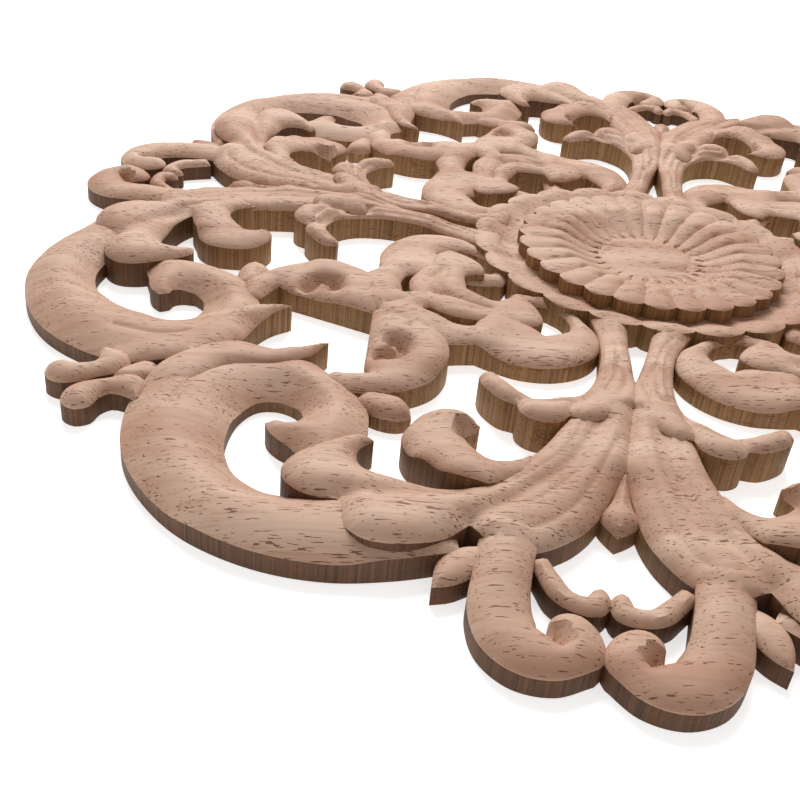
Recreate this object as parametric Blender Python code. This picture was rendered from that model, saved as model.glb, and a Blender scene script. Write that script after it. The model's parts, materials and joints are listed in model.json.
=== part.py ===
# Carved applique of rubberwood, sawn through and carved from one board.
# It has four axes of symmetry, so one eighth of it is drawn, and eight mirrored and turned
# copies make the whole. All outlines are in millimetres as (out, across): out is the distance
# from the middle along one arm, and across is the distance sideways from that arm's axis.
import math

import bmesh
import bpy
from mathutils import Matrix, Vector
from mathutils.geometry import delaunay_2d_cdt

MM = 0.001

# Driving dimensions, in millimetres
RING_OUT = 55.5
RING_ACROSS = 59.5
RING_LOBES = 22
RING_NOTCH = 3.0
RING_TOP = 8.9
RING_DIP = 2.9
RING_CREASE = 0.9
RING_LOBE_POINTS = 4
DISC_RADIUS = 44.5
DISC_PETALS = 27
DISC_NOTCH = 2.6
DISC_TOP = 10.9
DISC_CREASE = 1.0
DISC_PETAL_POINTS = 3
BOWL_RIM = 31.0
BOWL_FOOT = 17.0
BOWL_DEPTH = 4.6
BOWL_STEP = 0.8
STEP_WIDTH = 1.5
HEART_CROWN = 1.5
HEART_POINTS = 9
LOBE_ROUNDNESS = 0.6
EDGE_ROLL = 4.0
EDGE_FALL = 1.2
BELOW = 2.0
BELOW_STEP = 0.1
OUTLINE_STEP = 1.0
OUTLINE_TOLERANCE = 0.85
LINE_STEP = 14.0
SCOOP_STEP = 3.0
CURVE_DETAIL = 2.0
INNER_SPACING = 2.2
GROOVE_FADE = 4.0
CLEAR_OF_EDGE = 1.6

# Limits of the clean-up after the joins, in metres and radians
WELD = 0.00002
SLIVER = 0.00015
MELT_ANGLE = math.radians(6.0)

# Each carved member has:
#   runs    smooth stretches of its outline, which meet in corners
#   rim     heights of its upper edge at named places: (out, across, height)
#   crown   how far its top is domed above that edge, reached at a distance of roll
#   ridges  lines along the high middle of the form
#   grooves lines cut into the top, fading at its edges: (points, depth, width)
#   scoops  hollows that run out through its edge: (points, depth, width)
#   holes   openings sawn through it

SCROLL = {
    "runs": [
        [(105.4, 103.8), (110.7, 112.1), (120.3, 118.5), (134.5, 122.3), (146.9, 120.1),
         (159.3, 114.1), (169.5, 104.5), (177.6, 91.4), (181.5, 74.1), (180.3, 58.4),
         (175.3, 44.9), (168.4, 32.5)],
        [(168.4, 32.5), (157.6, 36.4)],
        [(157.6, 36.4), (155.6, 57.8)],
        [(155.6, 57.8), (161.6, 73.4)],
        [(161.6, 73.4), (161.0, 80.0), (157.1, 87.6), (151.6, 91.8), (144.6, 94.6),
         (133.2, 95.6), (126.2, 92.9), (124.2, 88.0), (126.0, 82.2), (129.6, 79.8)],
        [(129.6, 79.8), (133.6, 80.6), (135.4, 82.6), (135.5, 85.0), (137.7, 87.0)],
        [(137.7, 87.0), (140.4, 85.4), (142.8, 82.4), (144.4, 79.0), (147.6, 74.0)],
        [(147.6, 74.0), (151.6, 67.6)],
        [(151.6, 67.6), (142.6, 63.4), (134.6, 62.5), (123.1, 64.9), (114.4, 71.2),
         (109.7, 79.7)],
        [(109.7, 79.7), (105.8, 86.3), (106.3, 95.3), (105.4, 103.8)],
    ],
    "rim": [(109.1, 82.2, 5.8), (116.3, 114.2, 4.4), (149.1, 113.5, 4.4), (172.2, 101.5, 4.2),
            (179.3, 84.0, 5.3), (180.2, 59.0, 5.2), (173.3, 43.0, 6.5), (125.2, 88.5, 3.1),
            (129.5, 95.0, 3.0), (144.6, 94.6, 4.0), (158.0, 86.0, 4.2), (140.0, 84.5, 6.2),
            (134.6, 64.0, 5.2)],
    "crown": 4.4,
    "roll": 10.0,
    "ridges": [
        [(114.1, 86.1), (119.8, 102.0), (131.8, 108.8), (147.2, 106.5), (159.4, 98.2),
         (168.6, 85.1), (171.0, 69.3), (168.5, 51.8)],
        [(116.2, 80.1), (127.5, 72.5), (140.5, 73.7)],
    ],
}

CREST = {
    "runs": [
        [(98.6, 82.8), (102.6, 88.2), (104.9, 94.6), (105.4, 103.8)],
        [(105.4, 103.8), (107.0, 108.6), (111.2, 114.3), (122.2, 121.0), (132.4, 122.9),
         (137.6, 122.7)],
        [(137.6, 122.7), (138.8, 116.7), (133.6, 111.9)],
        [(133.6, 111.9), (126.4, 109.4), (120.0, 105.2), (115.9, 98.4), (112.1, 90.4),
         (107.0, 85.6), (98.6, 82.8)],
    ],
    "rim": [(98.9, 83.4, 8.2), (110.7, 90.0, 8.2), (117.0, 101.0, 8.0), (104.9, 96.0, 6.5),
            (120.5, 112.1, 7.0), (137.7, 119.8, 4.2)],
    "crown": 2.4,
    "roll": 5.0,
    "ridges": [[(104.4, 88.8), (109.1, 97.2), (112.9, 106.7), (119.3, 112.6), (129.5, 116.4)]],
}

RING = {
    "runs": [
        [(114.2, 81.1), (109.6, 78.2)],
        [(109.6, 78.2), (108.6, 73.6), (107.2, 69.2)],
        [(107.2, 69.2), (103.6, 71.2), (97.6, 72.4), (87.5, 74.2), (75.1, 76.5)],
        [(75.1, 76.5), (71.0, 72.0)],
        [(71.0, 72.0), (72.7, 64.0), (78.4, 57.4), (84.5, 52.6), (94.8, 50.2), (104.2, 52.2),
         (111.6, 58.4), (115.4, 65.0), (117.6, 72.1)],
        [(117.6, 72.1), (114.2, 81.1)],
    ],
    "rim": [(83.4, 58.8, 7.8), (97.0, 50.2, 8.2), (107.6, 55.5, 6.4), (112.6, 61.0, 6.2),
            (111.2, 78.2, 6.0), (98.0, 72.2, 6.2), (79.0, 72.8, 7.4)],
    "crown": 2.8,
    "roll": 6.0,
    "ridges": [[(78.1, 69.9), (83.9, 61.8), (92.5, 57.2), (101.5, 59.6), (106.9, 66.4), (111.3, 74.2)],
               [(85.2, 70.2), (93.2, 69.4)]],
    "scoops": [([(98.6, 68.0), (96.2, 63.4), (91.4, 63.6), (90.6, 66.6)], 5.0, 2.2)],
}

BUD = {
    "runs": [
        [(113.9, 69.2), (112.9, 63.4), (113.2, 58.6), (115.8, 55.8), (120.2, 54.2)],
        [(120.2, 54.2), (122.5, 57.2), (123.0, 60.6), (122.4, 64.0), (120.0, 70.1)],
        [(120.0, 70.1), (113.9, 69.2)],
    ],
    "rim": [(118.6, 58.3, 3.9)],
    "crown": 3.2,
    "roll": 4.0,
    "ridges": [[(118.0, 65.7), (118.4, 58.4)]],
}

PLATE = {
    "runs": [
        [(73.9, 75.9), (80.1, 71.8)],
        [(80.1, 71.8), (85.9, 58.8), (85.1, 52.0)],
        [(85.1, 52.0), (83.6, 49.0), (81.8, 44.6)],
        [(81.8, 44.6), (83.7, 39.1), (85.2, 31.2), (83.2, 21.9), (77.1, 14.2), (68.6, 10.6),
         (60.6, 11.8), (52.0, 17.7)],
        [(52.0, 17.7), (41.8, 27.7)],
        [(41.8, 27.7), (43.6, 39.6)],
        [(43.6, 39.6), (57.6, 45.3), (58.3, 57.3), (63.0, 67.1)],
        [(63.0, 67.1), (73.9, 75.9)],
    ],
    "holes": [
        [[(48.8, 33.6), (48.4, 28.6), (52.4, 22.8), (60.0, 20.2), (67.1, 26.8)],
         [(67.1, 26.8), (61.8, 31.5), (54.8, 33.5), (48.8, 33.6)]],
        [[(68.1, 46.7), (72.2, 47.6), (73.2, 54.1), (70.6, 62.6)],
         [(70.6, 62.6), (68.3, 61.1), (68.9, 54.1), (68.1, 46.7)]],
    ],
    "rim": [(83.9, 31.2, 4.9), (62.1, 11.8, 4.9), (77.6, 49.0, 7.0), (74.3, 61.0, 8.6),
            (72.9, 72.9, 8.8), (49.7, 35.5, 4.9)],
    "crown": 2.6,
    "roll": 6.0,
    "ridges": [[(60.0, 15.9), (69.6, 16.1), (76.5, 22.5), (77.9, 33.3), (76.2, 45.1), (79.0, 55.9)]],
}

COLLAR = {
    "mirror": "diagonal",
    "runs": [
        [(65.6, 65.6), (68.9, 60.5), (70.5, 54.1), (69.2, 46.2)],
        [(69.2, 46.2), (67.1, 39.3), (66.8, 32.4), (63.4, 28.3), (56.3, 30.3), (51.3, 34.5),
         (49.9, 39.5)],
        [(49.9, 39.5), (55.0, 43.2), (54.1, 48.9), (52.9, 52.9)],
    ],
    "rim": [(59.2, 59.2, 8.8), (59.7, 39.4, 7.4)],
    "crown": 1.8,
    "roll": 4.0,
    "ridges": [[(56.1, 56.1), (58.1, 49.3), (58.5, 41.4), (59.3, 34.9)],
               [(63.2, 63.2), (66.8, 54.6), (65.6, 46.2)]],
    "grooves": [([(59.5, 59.5), (62.6, 52.2), (62.0, 44.3)], 1.6, 2.0)],
}

STEM = {
    "runs": [
        [(49.5, 4.0), (65.4, 2.8), (78.0, 1.4), (86.0, 0.2)],
        [(86.0, 0.2), (88.2, -0.7)],
        [(88.2, -0.7), (102.2, -0.7)],
        [(102.2, -0.7), (104.2, 1.0)],
        [(104.2, 1.0), (109.8, 4.8), (113.4, 8.4), (115.0, 11.8), (113.2, 15.3)],
        [(113.2, 15.3), (116.2, 17.2), (117.8, 20.8), (117.4, 24.8), (115.0, 27.8),
         (111.4, 28.9)],
        [(111.4, 28.9), (110.9, 32.8), (107.9, 36.8), (104.6, 39.4), (101.2, 40.6)],
        [(101.2, 40.6), (98.6, 39.6), (98.4, 36.6)],
        [(98.4, 36.6), (103.4, 31.2), (105.8, 25.6), (104.2, 20.2), (99.8, 14.6),
         (92.4, 11.2), (80.1, 10.0), (63.8, 11.4), (47.8, 16.4)],
        [(47.8, 16.4), (49.5, 4.0)],
    ],
    "rim": [(60.1, 8.8, 5.8), (85.2, 4.9, 7.6), (103.1, 1.5, 10.0), (114.6, 10.5, 10.6),
            (117.0, 22.0, 9.8), (108.9, 35.5, 9.2), (99.4, 39.4, 8.4), (105.0, 26.0, 8.2),
            (97.0, 13.2, 7.4)],
    "crown": 2.6,
    "roll": 4.0,
    "ridges": [[(60.1, 8.3), (74.2, 6.7), (88.2, 4.9), (98.2, 5.8), (108.1, 10.1)],
               [(92.2, 7.8), (101.1, 12.1), (109.1, 17.9), (112.0, 23.2)],
               [(109.0, 28.1), (105.4, 34.0)]],
    "grooves": [([(78.2, 4.5), (90.2, 2.5), (101.2, 4.8)], 1.1, 1.4),
                ([(96.1, 8.7), (105.1, 14.0), (113.2, 15.3)], 1.2, 1.6),
                ([(104.6, 22.0), (108.4, 26.8), (111.4, 28.9)], 1.2, 1.6)],
}

LEAF = {
    "runs": [
        [(96.2, -0.8), (127.6, -0.8)],
        [(127.6, -0.8), (133.2, 1.0), (139.0, 2.5), (144.4, 4.0), (149.8, 6.0), (155.4, 9.2),
         (160.2, 13.4)],
        [(160.2, 13.4), (164.2, 18.4), (165.6, 24.6), (161.6, 31.9)],
        [(161.6, 31.9), (166.9, 35.4), (172.0, 41.2), (174.7, 47.6), (174.4, 53.4),
         (170.8, 58.2), (163.0, 61.2)],
        [(163.0, 61.2), (163.9, 65.8), (163.1, 70.6), (160.2, 74.6), (155.8, 76.6),
         (150.4, 75.4), (145.2, 71.6), (140.2, 66.8), (137.6, 62.8), (138.6, 59.4)],
        [(138.6, 59.4), (143.2, 61.8), (147.1, 61.2), (149.6, 59.0), (150.6, 52.0),
         (151.0, 42.3), (146.7, 31.7), (137.8, 25.9), (124.0, 19.3), (110.1, 15.5),
         (96.1, 11.6)],
        [(96.1, 11.6), (96.2, -0.8)],
    ],
    "rim": [(100.2, 5.8, 8.6), (125.0, -0.8, 8.0), (137.0, 2.0, 6.2), (149.7, 6.0, 5.4),
            (160.2, 13.4, 5.6), (165.6, 24.0, 7.4), (161.6, 31.9, 8.4), (174.0, 48.0, 9.6),
            (163.4, 68.0, 8.8), (155.6, 76.4, 8.2), (138.6, 60.5, 8.2), (150.7, 50.0, 7.6),
            (137.8, 25.9, 8.0), (118.0, 17.6, 8.0)],
    "crown": 3.6,
    "roll": 7.0,
    "ridges": [[(108.1, 4.3), (124.0, 6.5), (139.8, 10.5), (154.6, 19.6)],
               [(118.0, 11.6), (133.9, 18.2), (149.7, 29.7), (160.5, 39.3), (166.5, 48.9)],
               [(155.6, 53.9), (156.0, 66.6), (146.6, 67.3)]],
    "grooves": [([(112.1, 7.5), (131.9, 13.4), (149.7, 23.5), (161.6, 31.9)], 1.6, 2.2),
                ([(151.5, 36.4), (156.6, 47.0), (163.0, 61.2)], 1.6, 2.4)],
}

CURL = {
    "runs": [
        [(122.6, 36.4), (119.4, 41.4), (119.6, 46.4), (122.6, 50.6), (127.8, 52.9),
         (134.6, 53.6), (140.2, 50.6), (143.6, 45.6), (147.4, 39.4), (148.2, 30.4)],
        [(148.2, 30.4), (139.8, 20.1)],
        [(139.8, 20.1), (131.9, 22.4)],
        [(131.9, 22.4), (136.2, 26.6), (137.4, 31.4), (134.6, 35.6), (129.8, 38.8),
         (126.2, 39.8), (122.6, 36.4)],
    ],
    "rim": [(121.2, 39.6, 8.6), (128.0, 52.6, 7.6), (138.2, 51.4, 7.4), (144.0, 45.0, 9.4),
            (147.8, 36.0, 10.8), (137.0, 31.0, 9.0), (128.0, 39.0, 8.2)],
    "crown": 2.4,
    "roll": 5.0,
    "ridges": [[(125.3, 45.5), (133.4, 46.5), (139.8, 40.5), (142.4, 30.8)]],
    "scoops": [([(123.6, 37.6), (126.2, 40.6), (129.0, 40.4)], 3.0, 1.4)],
}

FINIAL = {
    "runs": [
        [(157.6, 29.7), (172.7, 28.9), (183.4, 28.1), (192.0, 24.0), (196.7, 16.5), (196.2, 8.0),
         (191.2, 1.0)],
        [(191.2, 1.0), (188.4, -0.4), (184.4, 0.2), (180.6, 2.2), (178.2, 5.4), (178.3, 8.6),
         (180.6, 11.2), (184.6, 12.0)],
        [(184.6, 12.0), (182.6, 14.2), (178.2, 15.8), (170.2, 16.6), (157.5, 16.7)],
        [(157.5, 16.7), (157.6, 29.7)],
    ],
    "rim": [(164.4, 22.9, 6.5), (193.4, 15.1, 4.8), (183.7, 2.8, 5.0)],
    "crown": 3.0,
    "roll": 6.0,
    "ridges": [[(165.4, 22.7), (177.1, 22.1), (187.0, 18.4), (190.6, 12.8), (186.4, 5.2)]],
    "scoops": [([(184.0, 12.2), (184.9, 9.8), (187.4, 8.9)], 3.6, 1.5)],
}

CRESCENT = {
    "runs": [
        [(163.0, 14.3), (168.0, 10.9), (171.8, 7.6), (172.2, 5.0)],
        [(172.2, 5.0), (169.6, 3.8), (168.8, 1.9), (170.2, 0.3), (172.9, -0.6)],
        [(172.9, -0.6), (176.6, 1.4), (177.5, 4.4), (176.6, 9.2), (174.2, 12.8), (170.0, 15.4),
         (165.4, 18.1)],
        [(165.4, 18.1), (163.0, 14.3)],
    ],
    "rim": [(169.2, 14.3, 5.1), (173.0, 1.9, 4.9)],
    "crown": 2.2,
    "roll": 3.0,
    "ridges": [[(169.0, 14.0), (174.2, 8.5), (173.4, 3.0)]],
}

SIDE_LEAF = {
    "runs": [
        [(163.4, 26.2), (165.4, 32.0), (169.0, 35.6), (173.6, 36.7), (179.7, 36.1)],
        [(179.7, 36.1), (177.6, 32.0), (172.2, 26.7)],
        [(172.2, 26.7), (163.4, 26.2)],
    ],
    "rim": [(169.3, 32.4, 5.0)],
    "crown": 2.2,
    "roll": 3.6,
    "ridges": [[(168.4, 30.4), (174.6, 33.6)]],
}

DROP = {
    "mirror": "axis",
    "runs": [
        [(122.1, 0.0), (122.1, 1.4)],
        [(122.1, 1.4), (132.0, 1.6), (139.0, 2.9), (144.8, 4.6), (147.8, 2.8), (150.6, 0.0)],
    ],
    "rim": [(125.0, 0.0, 6.0), (144.7, 0.0, 4.6)],
    "crown": 3.2,
    "roll": 3.8,
    "ridges": [[(124.0, 0.0), (133.9, 0.0), (143.3, 0.0)]],
}

CROOK = {
    "runs": [
        [(131.5, 119.5), (128.9, 124.0), (129.8, 127.6), (133.6, 131.6), (137.0, 135.8),
         (141.6, 138.2), (146.2, 136.6), (147.6, 132.6), (145.2, 129.6), (141.0, 129.2),
         (138.0, 127.4), (137.8, 124.2), (139.6, 119.5)],
        [(139.6, 119.5), (131.5, 119.5)],
    ],
    "rim": [(132.3, 126.0, 5.0), (140.3, 134.0, 5.2)],
    "crown": 2.8,
    "roll": 3.8,
    "ridges": [[(133.8, 124.0), (134.8, 129.0), (142.6, 134.0)]],
}

BEAD = {
    "mirror": "diagonal",
    "runs": [
        [(121.8, 121.8), (123.2, 120.8), (126.2, 120.8), (128.2, 122.8)],
        [(128.2, 122.8), (130.6, 127.0), (131.0, 131.0)],
    ],
    "rim": [(124.2, 124.2, 4.4)],
    "crown": 2.2,
    "roll": 2.8,
    "ridges": [[(124.6, 124.6), (128.0, 128.0)]],
}

MEMBERS = [
    SCROLL, CREST, RING, BUD, PLATE, COLLAR, STEM, LEAF, CURL, FINIAL, CRESCENT, SIDE_LEAF,
    DROP, CROOK, BEAD,
]


# Curves


def mix(a, b, share):
    return tuple(p + (q - p) * share for p, q in zip(a, b))


def smooth(knots, step):
    """Points along a round curve through the knots, about one step apart."""
    if len(knots) == 2:
        return [knots[0], knots[1]]
    ends = [mix(knots[1], knots[0], 2.0)] + list(knots) + [mix(knots[-2], knots[-1], 2.0)]
    points = [knots[0]]
    for p0, p1, p2, p3 in zip(ends, ends[1:], ends[2:], ends[3:]):
        t1 = math.dist(p0, p1) ** 0.5
        t2 = t1 + math.dist(p1, p2) ** 0.5
        t3 = t2 + math.dist(p2, p3) ** 0.5
        pieces = max(1, round(math.dist(p1, p2) / step))
        for i in range(1, pieces + 1):
            t = t1 + (t2 - t1) * i / pieces
            a1 = mix(p0, p1, t / t1)
            a2 = mix(p1, p2, (t - t1) / (t2 - t1))
            a3 = mix(p2, p3, (t - t2) / (t3 - t2))
            b1 = mix(a1, a2, t / t2)
            b2 = mix(a2, a3, (t - t1) / (t3 - t1))
            points.append(mix(b1, b2, (t - t1) / (t2 - t1)))
    return points


def off_segment(p, a, b):
    """Distance from p to the straight stretch from a to b."""
    dx, dy = b[0] - a[0], b[1] - a[1]
    length = dx * dx + dy * dy
    share = 0.0 if length == 0 else ((p[0] - a[0]) * dx + (p[1] - a[1]) * dy) / length
    share = min(1.0, max(0.0, share))
    return math.hypot(p[0] - a[0] - share * dx, p[1] - a[1] - share * dy)


def off_line(p, line):
    return min(off_segment(p, a, b) for a, b in zip(line, line[1:]))


def thinned(points, tolerance):
    """The fewest of the points that keep the curve within the tolerance."""
    if len(points) < 3:
        return points
    offs = [off_segment(p, points[0], points[-1]) for p in points[1:-1]]
    far = max(offs)
    if far < tolerance:
        return [points[0], points[-1]]
    split = offs.index(far) + 1
    return thinned(points[: split + 1], tolerance)[:-1] + thinned(points[split:], tolerance)


def closed_line(runs, step, tolerance):
    loop = []
    for run in runs:
        loop += thinned(smooth(run, step), tolerance)[:-1]
    return loop


def reflected(point, mirror):
    return (point[0], -point[1]) if mirror == "axis" else (point[1], point[0])


def outline_of(member, step, tolerance):
    if "mirror" not in member:
        return closed_line(member["runs"], step, tolerance)
    half = closed_line(member["runs"], step, tolerance) + [member["runs"][-1][-1]]
    other = [reflected(p, member["mirror"]) for p in half[-2:0:-1]]
    return half + other


# Heights


def rim_height(member, point):
    """The named rim heights, blended by how near each place is."""
    total = weight_sum = 0.0
    for out, across, height in member["rim"]:
        weight = 1.0 / (0.5 + (point[0] - out) ** 2 + (point[1] - across) ** 2) ** 1.5
        total += height * weight
        weight_sum += weight
    return total / weight_sum


def dome(distance, roll):
    return math.sqrt(1.0 - (1.0 - min(distance / roll, 1.0)) ** 2)


def top_height(member, loops, grooves, point):
    distance = min(off_line(point, loop + loop[:1]) for loop in loops)
    height = rim_height(member, point) + member["crown"] * dome(distance, member["roll"])
    for line, depth, width in grooves:
        height -= depth * math.exp(-((off_line(point, line) / width) ** 2)) * dome(distance, GROOVE_FADE)
    for line, depth, width in member.get("scoops", []):
        height -= depth * math.exp(-((off_line(point, smooth(line, CURVE_DETAIL)) / width) ** 2))
    return height


# Solids


def flat_triangles(loops, inner):
    """Triangles between closed loops, through the inner points."""
    points = [p for loop in loops for p in loop] + list(inner)
    edges = []
    start = 0
    for loop in loops:
        edges += [(start + i, start + (i + 1) % len(loop)) for i in range(len(loop))]
        start += len(loop)
    made = delaunay_2d_cdt([Vector(p) for p in points], edges, [], 1, 1e-6)
    faces = [[made[3][i][0] for i in face] for face in made[2]]
    return [face for face in faces if not any(inside(middle(points, face), h) for h in loops[1:])]


def middle(points, face):
    return tuple(sum(points[i][k] for i in face) / len(face) for k in (0, 1))


def inside(point, loop):
    """Whether the point lies within the closed loop."""
    crossings = 0
    for (ax, ay), (bx, by) in zip(loop, loop[1:] + loop[:1]):
        if (ay > point[1]) != (by > point[1]):
            crossings += ax + (point[1] - ay) / (by - ay) * (bx - ax) > point[0]
    return crossings % 2 == 1


def along(line, step):
    points = smooth(line, 1.0)
    count = max(1, round(len(points) / step))
    return [points[round(i * (len(points) - 1) / count)] for i in range(count + 1)]


def inner_points(member, loops):
    """Points along the scoops, grooves and ridges, clear of the edges and of each other."""
    wanted = []
    for line, depth, width in member.get("scoops", []):
        wanted += along(line, SCOOP_STEP)
    for line, depth, width in member.get("grooves", []):
        wanted += along(line, LINE_STEP)
    for line in member["ridges"]:
        wanted += along(line, LINE_STEP)
    if "mirror" in member:
        wanted += [reflected(p, member["mirror"]) for p in wanted]
    kept = []
    for point in wanted:
        clear = all(math.dist(point, other) > INNER_SPACING for other in kept)
        if clear and min(off_line(point, loop + loop[:1]) for loop in loops) > CLEAR_OF_EDGE:
            kept.append(point)
    return kept


def prism_mesh(loops, inner, height_of, below):
    """A closed solid over the outline loops, with the given height at each of its points."""
    edge_points = [p for loop in loops for p in loop]
    tops = [(p[0], p[1], height_of(p)) for p in edge_points + list(inner)]
    bottoms = [(p[0], p[1], -below) for p in edge_points]
    faces = flat_triangles(loops, inner)
    faces += [[len(tops) + i for i in face] for face in flat_triangles(loops, [])]
    start = 0
    for loop in loops:
        for i in range(len(loop)):
            a, b = start + i, start + (i + 1) % len(loop)
            faces.append([a, b, len(tops) + b, len(tops) + a])
        start += len(loop)
    mesh = bpy.data.meshes.new("form")
    mesh.from_pydata([(-p[1] * MM, -p[0] * MM, p[2] * MM) for p in tops + bottoms], [], faces)
    form = bmesh.new()
    form.from_mesh(mesh)
    bmesh.ops.recalc_face_normals(form, faces=form.faces)
    bmesh.ops.triangulate(form, faces=form.faces)
    form.to_mesh(mesh)
    form.free()
    return mesh


def member_mesh(member):
    below = BELOW + BELOW_STEP * MEMBERS.index(member)
    loops = [outline_of(member, OUTLINE_STEP, OUTLINE_TOLERANCE)]
    loops += [closed_line(runs, OUTLINE_STEP, OUTLINE_TOLERANCE) for runs in member.get("holes", [])]
    grooves = [(smooth(line, CURVE_DETAIL), depth, width)
               for line, depth, width in member.get("grooves", [])]
    if "mirror" in member:
        grooves += [([reflected(p, member["mirror"]) for p in line], depth, width)
                    for line, depth, width in grooves]
    return prism_mesh(
        loops,
        inner_points(member, loops),
        lambda p: top_height(member, loops, grooves, p),
        below,
    )


# The round middle: a lobed ring, a little wider across than out, and on it a disc of petals
# that is hollowed to a bowl with a low round heart.


def ring_of_points(radius, count, shift=0.0, across=None):
    turns = [math.tau * (i + shift) / count for i in range(count)]
    return [(radius * math.cos(t), (across or radius) * math.sin(t)) for t in turns]


def lobed_line(out, across, lobes, notch, points_per_lobe):
    """A round outline of convex lobes with notches between them."""
    line = []
    for i in range(lobes * points_per_lobe):
        share = (i % points_per_lobe) / points_per_lobe
        angle = math.tau * i / (lobes * points_per_lobe)
        inward = notch * (1.0 - math.sin(math.pi * share) ** LOBE_ROUNDNESS)
        line.append(((out - inward) * math.cos(angle), (across - inward) * math.sin(angle)))
    return line


def creased(angle, petals, depth):
    """Height lost between petals: most on the lines between them, none on their middles."""
    return depth * (1.0 - abs(math.sin(petals * angle / 2.0)))


def edge_fall(distance):
    return EDGE_FALL * (1.0 - dome(max(0.0, distance), EDGE_ROLL))


def ring_height(point):
    """The ring's top: highest just inside its edge, falling to the foot of the disc."""
    out, across = point[0] / RING_OUT, point[1] / RING_ACROSS
    inward = (1.0 - math.hypot(out, across)) * RING_OUT
    dip = RING_DIP * min(1.0, max(0.0, inward - EDGE_ROLL) / (RING_OUT - EDGE_ROLL - DISC_RADIUS))
    crease = creased(math.atan2(across, out), RING_LOBES, RING_CREASE)
    return RING_TOP - edge_fall(inward) - dip - crease * (inward < RING_OUT - DISC_RADIUS)


def disc_height(point):
    """The disc's top: petals round the rim, a fluted slope, a step down and the heart."""
    reach = math.hypot(*point)
    slope = min(1.0, max(0.0, (BOWL_RIM - reach) / (BOWL_RIM - BOWL_FOOT)))
    crease = creased(math.atan2(point[1], point[0]), DISC_PETALS, DISC_CREASE)
    height = DISC_TOP - edge_fall(DISC_RADIUS - reach) - BOWL_DEPTH * slope
    if reach > BOWL_FOOT - STEP_WIDTH / 2.0:
        return height - crease * (1.0 - 0.5 * slope)
    return height - BOWL_STEP + HEART_CROWN * dome(BOWL_FOOT - reach, BOWL_FOOT)


def rosette_meshes():
    ring_inner = []
    for out, across in ((RING_OUT - EDGE_ROLL, RING_ACROSS - EDGE_ROLL), (DISC_RADIUS, DISC_RADIUS)):
        ring_inner += ring_of_points(out, RING_LOBES, 0.0, across)
        ring_inner += ring_of_points(out, RING_LOBES, 0.5, across)
    disc_inner = []
    for radius in (DISC_RADIUS - EDGE_ROLL - DISC_NOTCH, BOWL_RIM):
        disc_inner += ring_of_points(radius, DISC_PETALS)
        disc_inner += ring_of_points(radius, DISC_PETALS, 0.5)
    disc_inner += ring_of_points(BOWL_FOOT, DISC_PETALS)
    disc_inner += ring_of_points(BOWL_FOOT - STEP_WIDTH, DISC_PETALS, 0.5)
    disc_inner += ring_of_points(BOWL_FOOT / 2.0, HEART_POINTS)
    ring = prism_mesh(
        [lobed_line(RING_OUT, RING_ACROSS, RING_LOBES, RING_NOTCH, RING_LOBE_POINTS)],
        ring_inner + [(0.0, 0.0)],
        ring_height,
        BELOW + BELOW_STEP * len(MEMBERS),
    )
    disc = prism_mesh(
        [lobed_line(DISC_RADIUS, DISC_RADIUS, DISC_PETALS, DISC_NOTCH, DISC_PETAL_POINTS)],
        disc_inner + [(0.0, 0.0)],
        disc_height,
        BELOW + BELOW_STEP * (len(MEMBERS) + 1),
    )
    return [ring, disc]


# Joining


def placed(mesh, turns, flipped):
    """A copy of the mesh, mirrored across an arm's axis if asked and turned by quarter turns."""
    copy = mesh.copy()
    if flipped:
        copy.transform(Matrix.Diagonal((-1.0, 1.0, 1.0, 1.0)))
        copy.flip_normals()
    copy.transform(Matrix.Rotation(math.radians(90.0 * turns), 4, "Z"))
    return copy


def boolean(first, others, operation):
    """One closed mesh: the first with the others joined to it or cut from it."""
    tools = bpy.data.collections.new("tools")
    base = bpy.data.objects.new("base", first)
    bpy.context.scene.collection.objects.link(base)
    bpy.context.scene.collection.children.link(tools)
    for i, mesh in enumerate(others):
        tools.objects.link(bpy.data.objects.new(f"tool_{i}", mesh))
    modifier = base.modifiers.new("join", "BOOLEAN")
    modifier.operation = operation
    modifier.solver = "EXACT"
    modifier.operand_type = "COLLECTION"
    modifier.collection = tools
    result = bpy.data.meshes.new_from_object(
        base.evaluated_get(bpy.context.evaluated_depsgraph_get())
    )
    for helper in list(tools.objects) + [base]:
        bpy.data.objects.remove(helper, do_unlink=True)
    bpy.data.collections.remove(tools)
    return result


def bench_mesh():
    """The block below z = 0 that the flat back is cut by."""
    half = 260.0
    corners = [(-half, -half), (half, -half), (half, half), (-half, half)]
    mesh = bpy.data.meshes.new("bench")
    points = [(x * MM, y * MM, z * MM) for z in (-10.0 * BELOW, 0.0) for x, y in corners]
    faces = [(3, 2, 1, 0), (4, 5, 6, 7)] + [
        (i, (i + 1) % 4, (i + 1) % 4 + 4, i + 4) for i in range(4)
    ]
    mesh.from_pydata(points, [], faces)
    return mesh


def cleaned(mesh):
    """Weld what the joins left doubled and melt the slivers away, then make triangles."""
    form = bmesh.new()
    form.from_mesh(mesh)
    bmesh.ops.remove_doubles(form, verts=form.verts, dist=WELD)
    bmesh.ops.dissolve_degenerate(form, edges=form.edges, dist=SLIVER)
    bmesh.ops.dissolve_limit(
        form, angle_limit=MELT_ANGLE, verts=form.verts, edges=form.edges
    )
    bmesh.ops.triangulate(form, faces=form.faces)
    form.to_mesh(mesh)
    form.free()
    return mesh


def applique_mesh():
    drawn = [member_mesh(member) for member in MEMBERS if "mirror" not in member]
    shared = [member_mesh(member) for member in MEMBERS if "mirror" in member]
    eighth = boolean(drawn[0], drawn[1:], "UNION")
    pieces = [placed(eighth, turns, flipped) for turns in range(4) for flipped in (False, True)]
    pieces += [placed(mesh, turns, False) for mesh in shared for turns in range(4)]
    rosette = rosette_meshes()
    whole = boolean(rosette[0], rosette[1:] + pieces, "UNION")
    return cleaned(boolean(whole, [bench_mesh()], "DIFFERENCE"))


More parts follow.
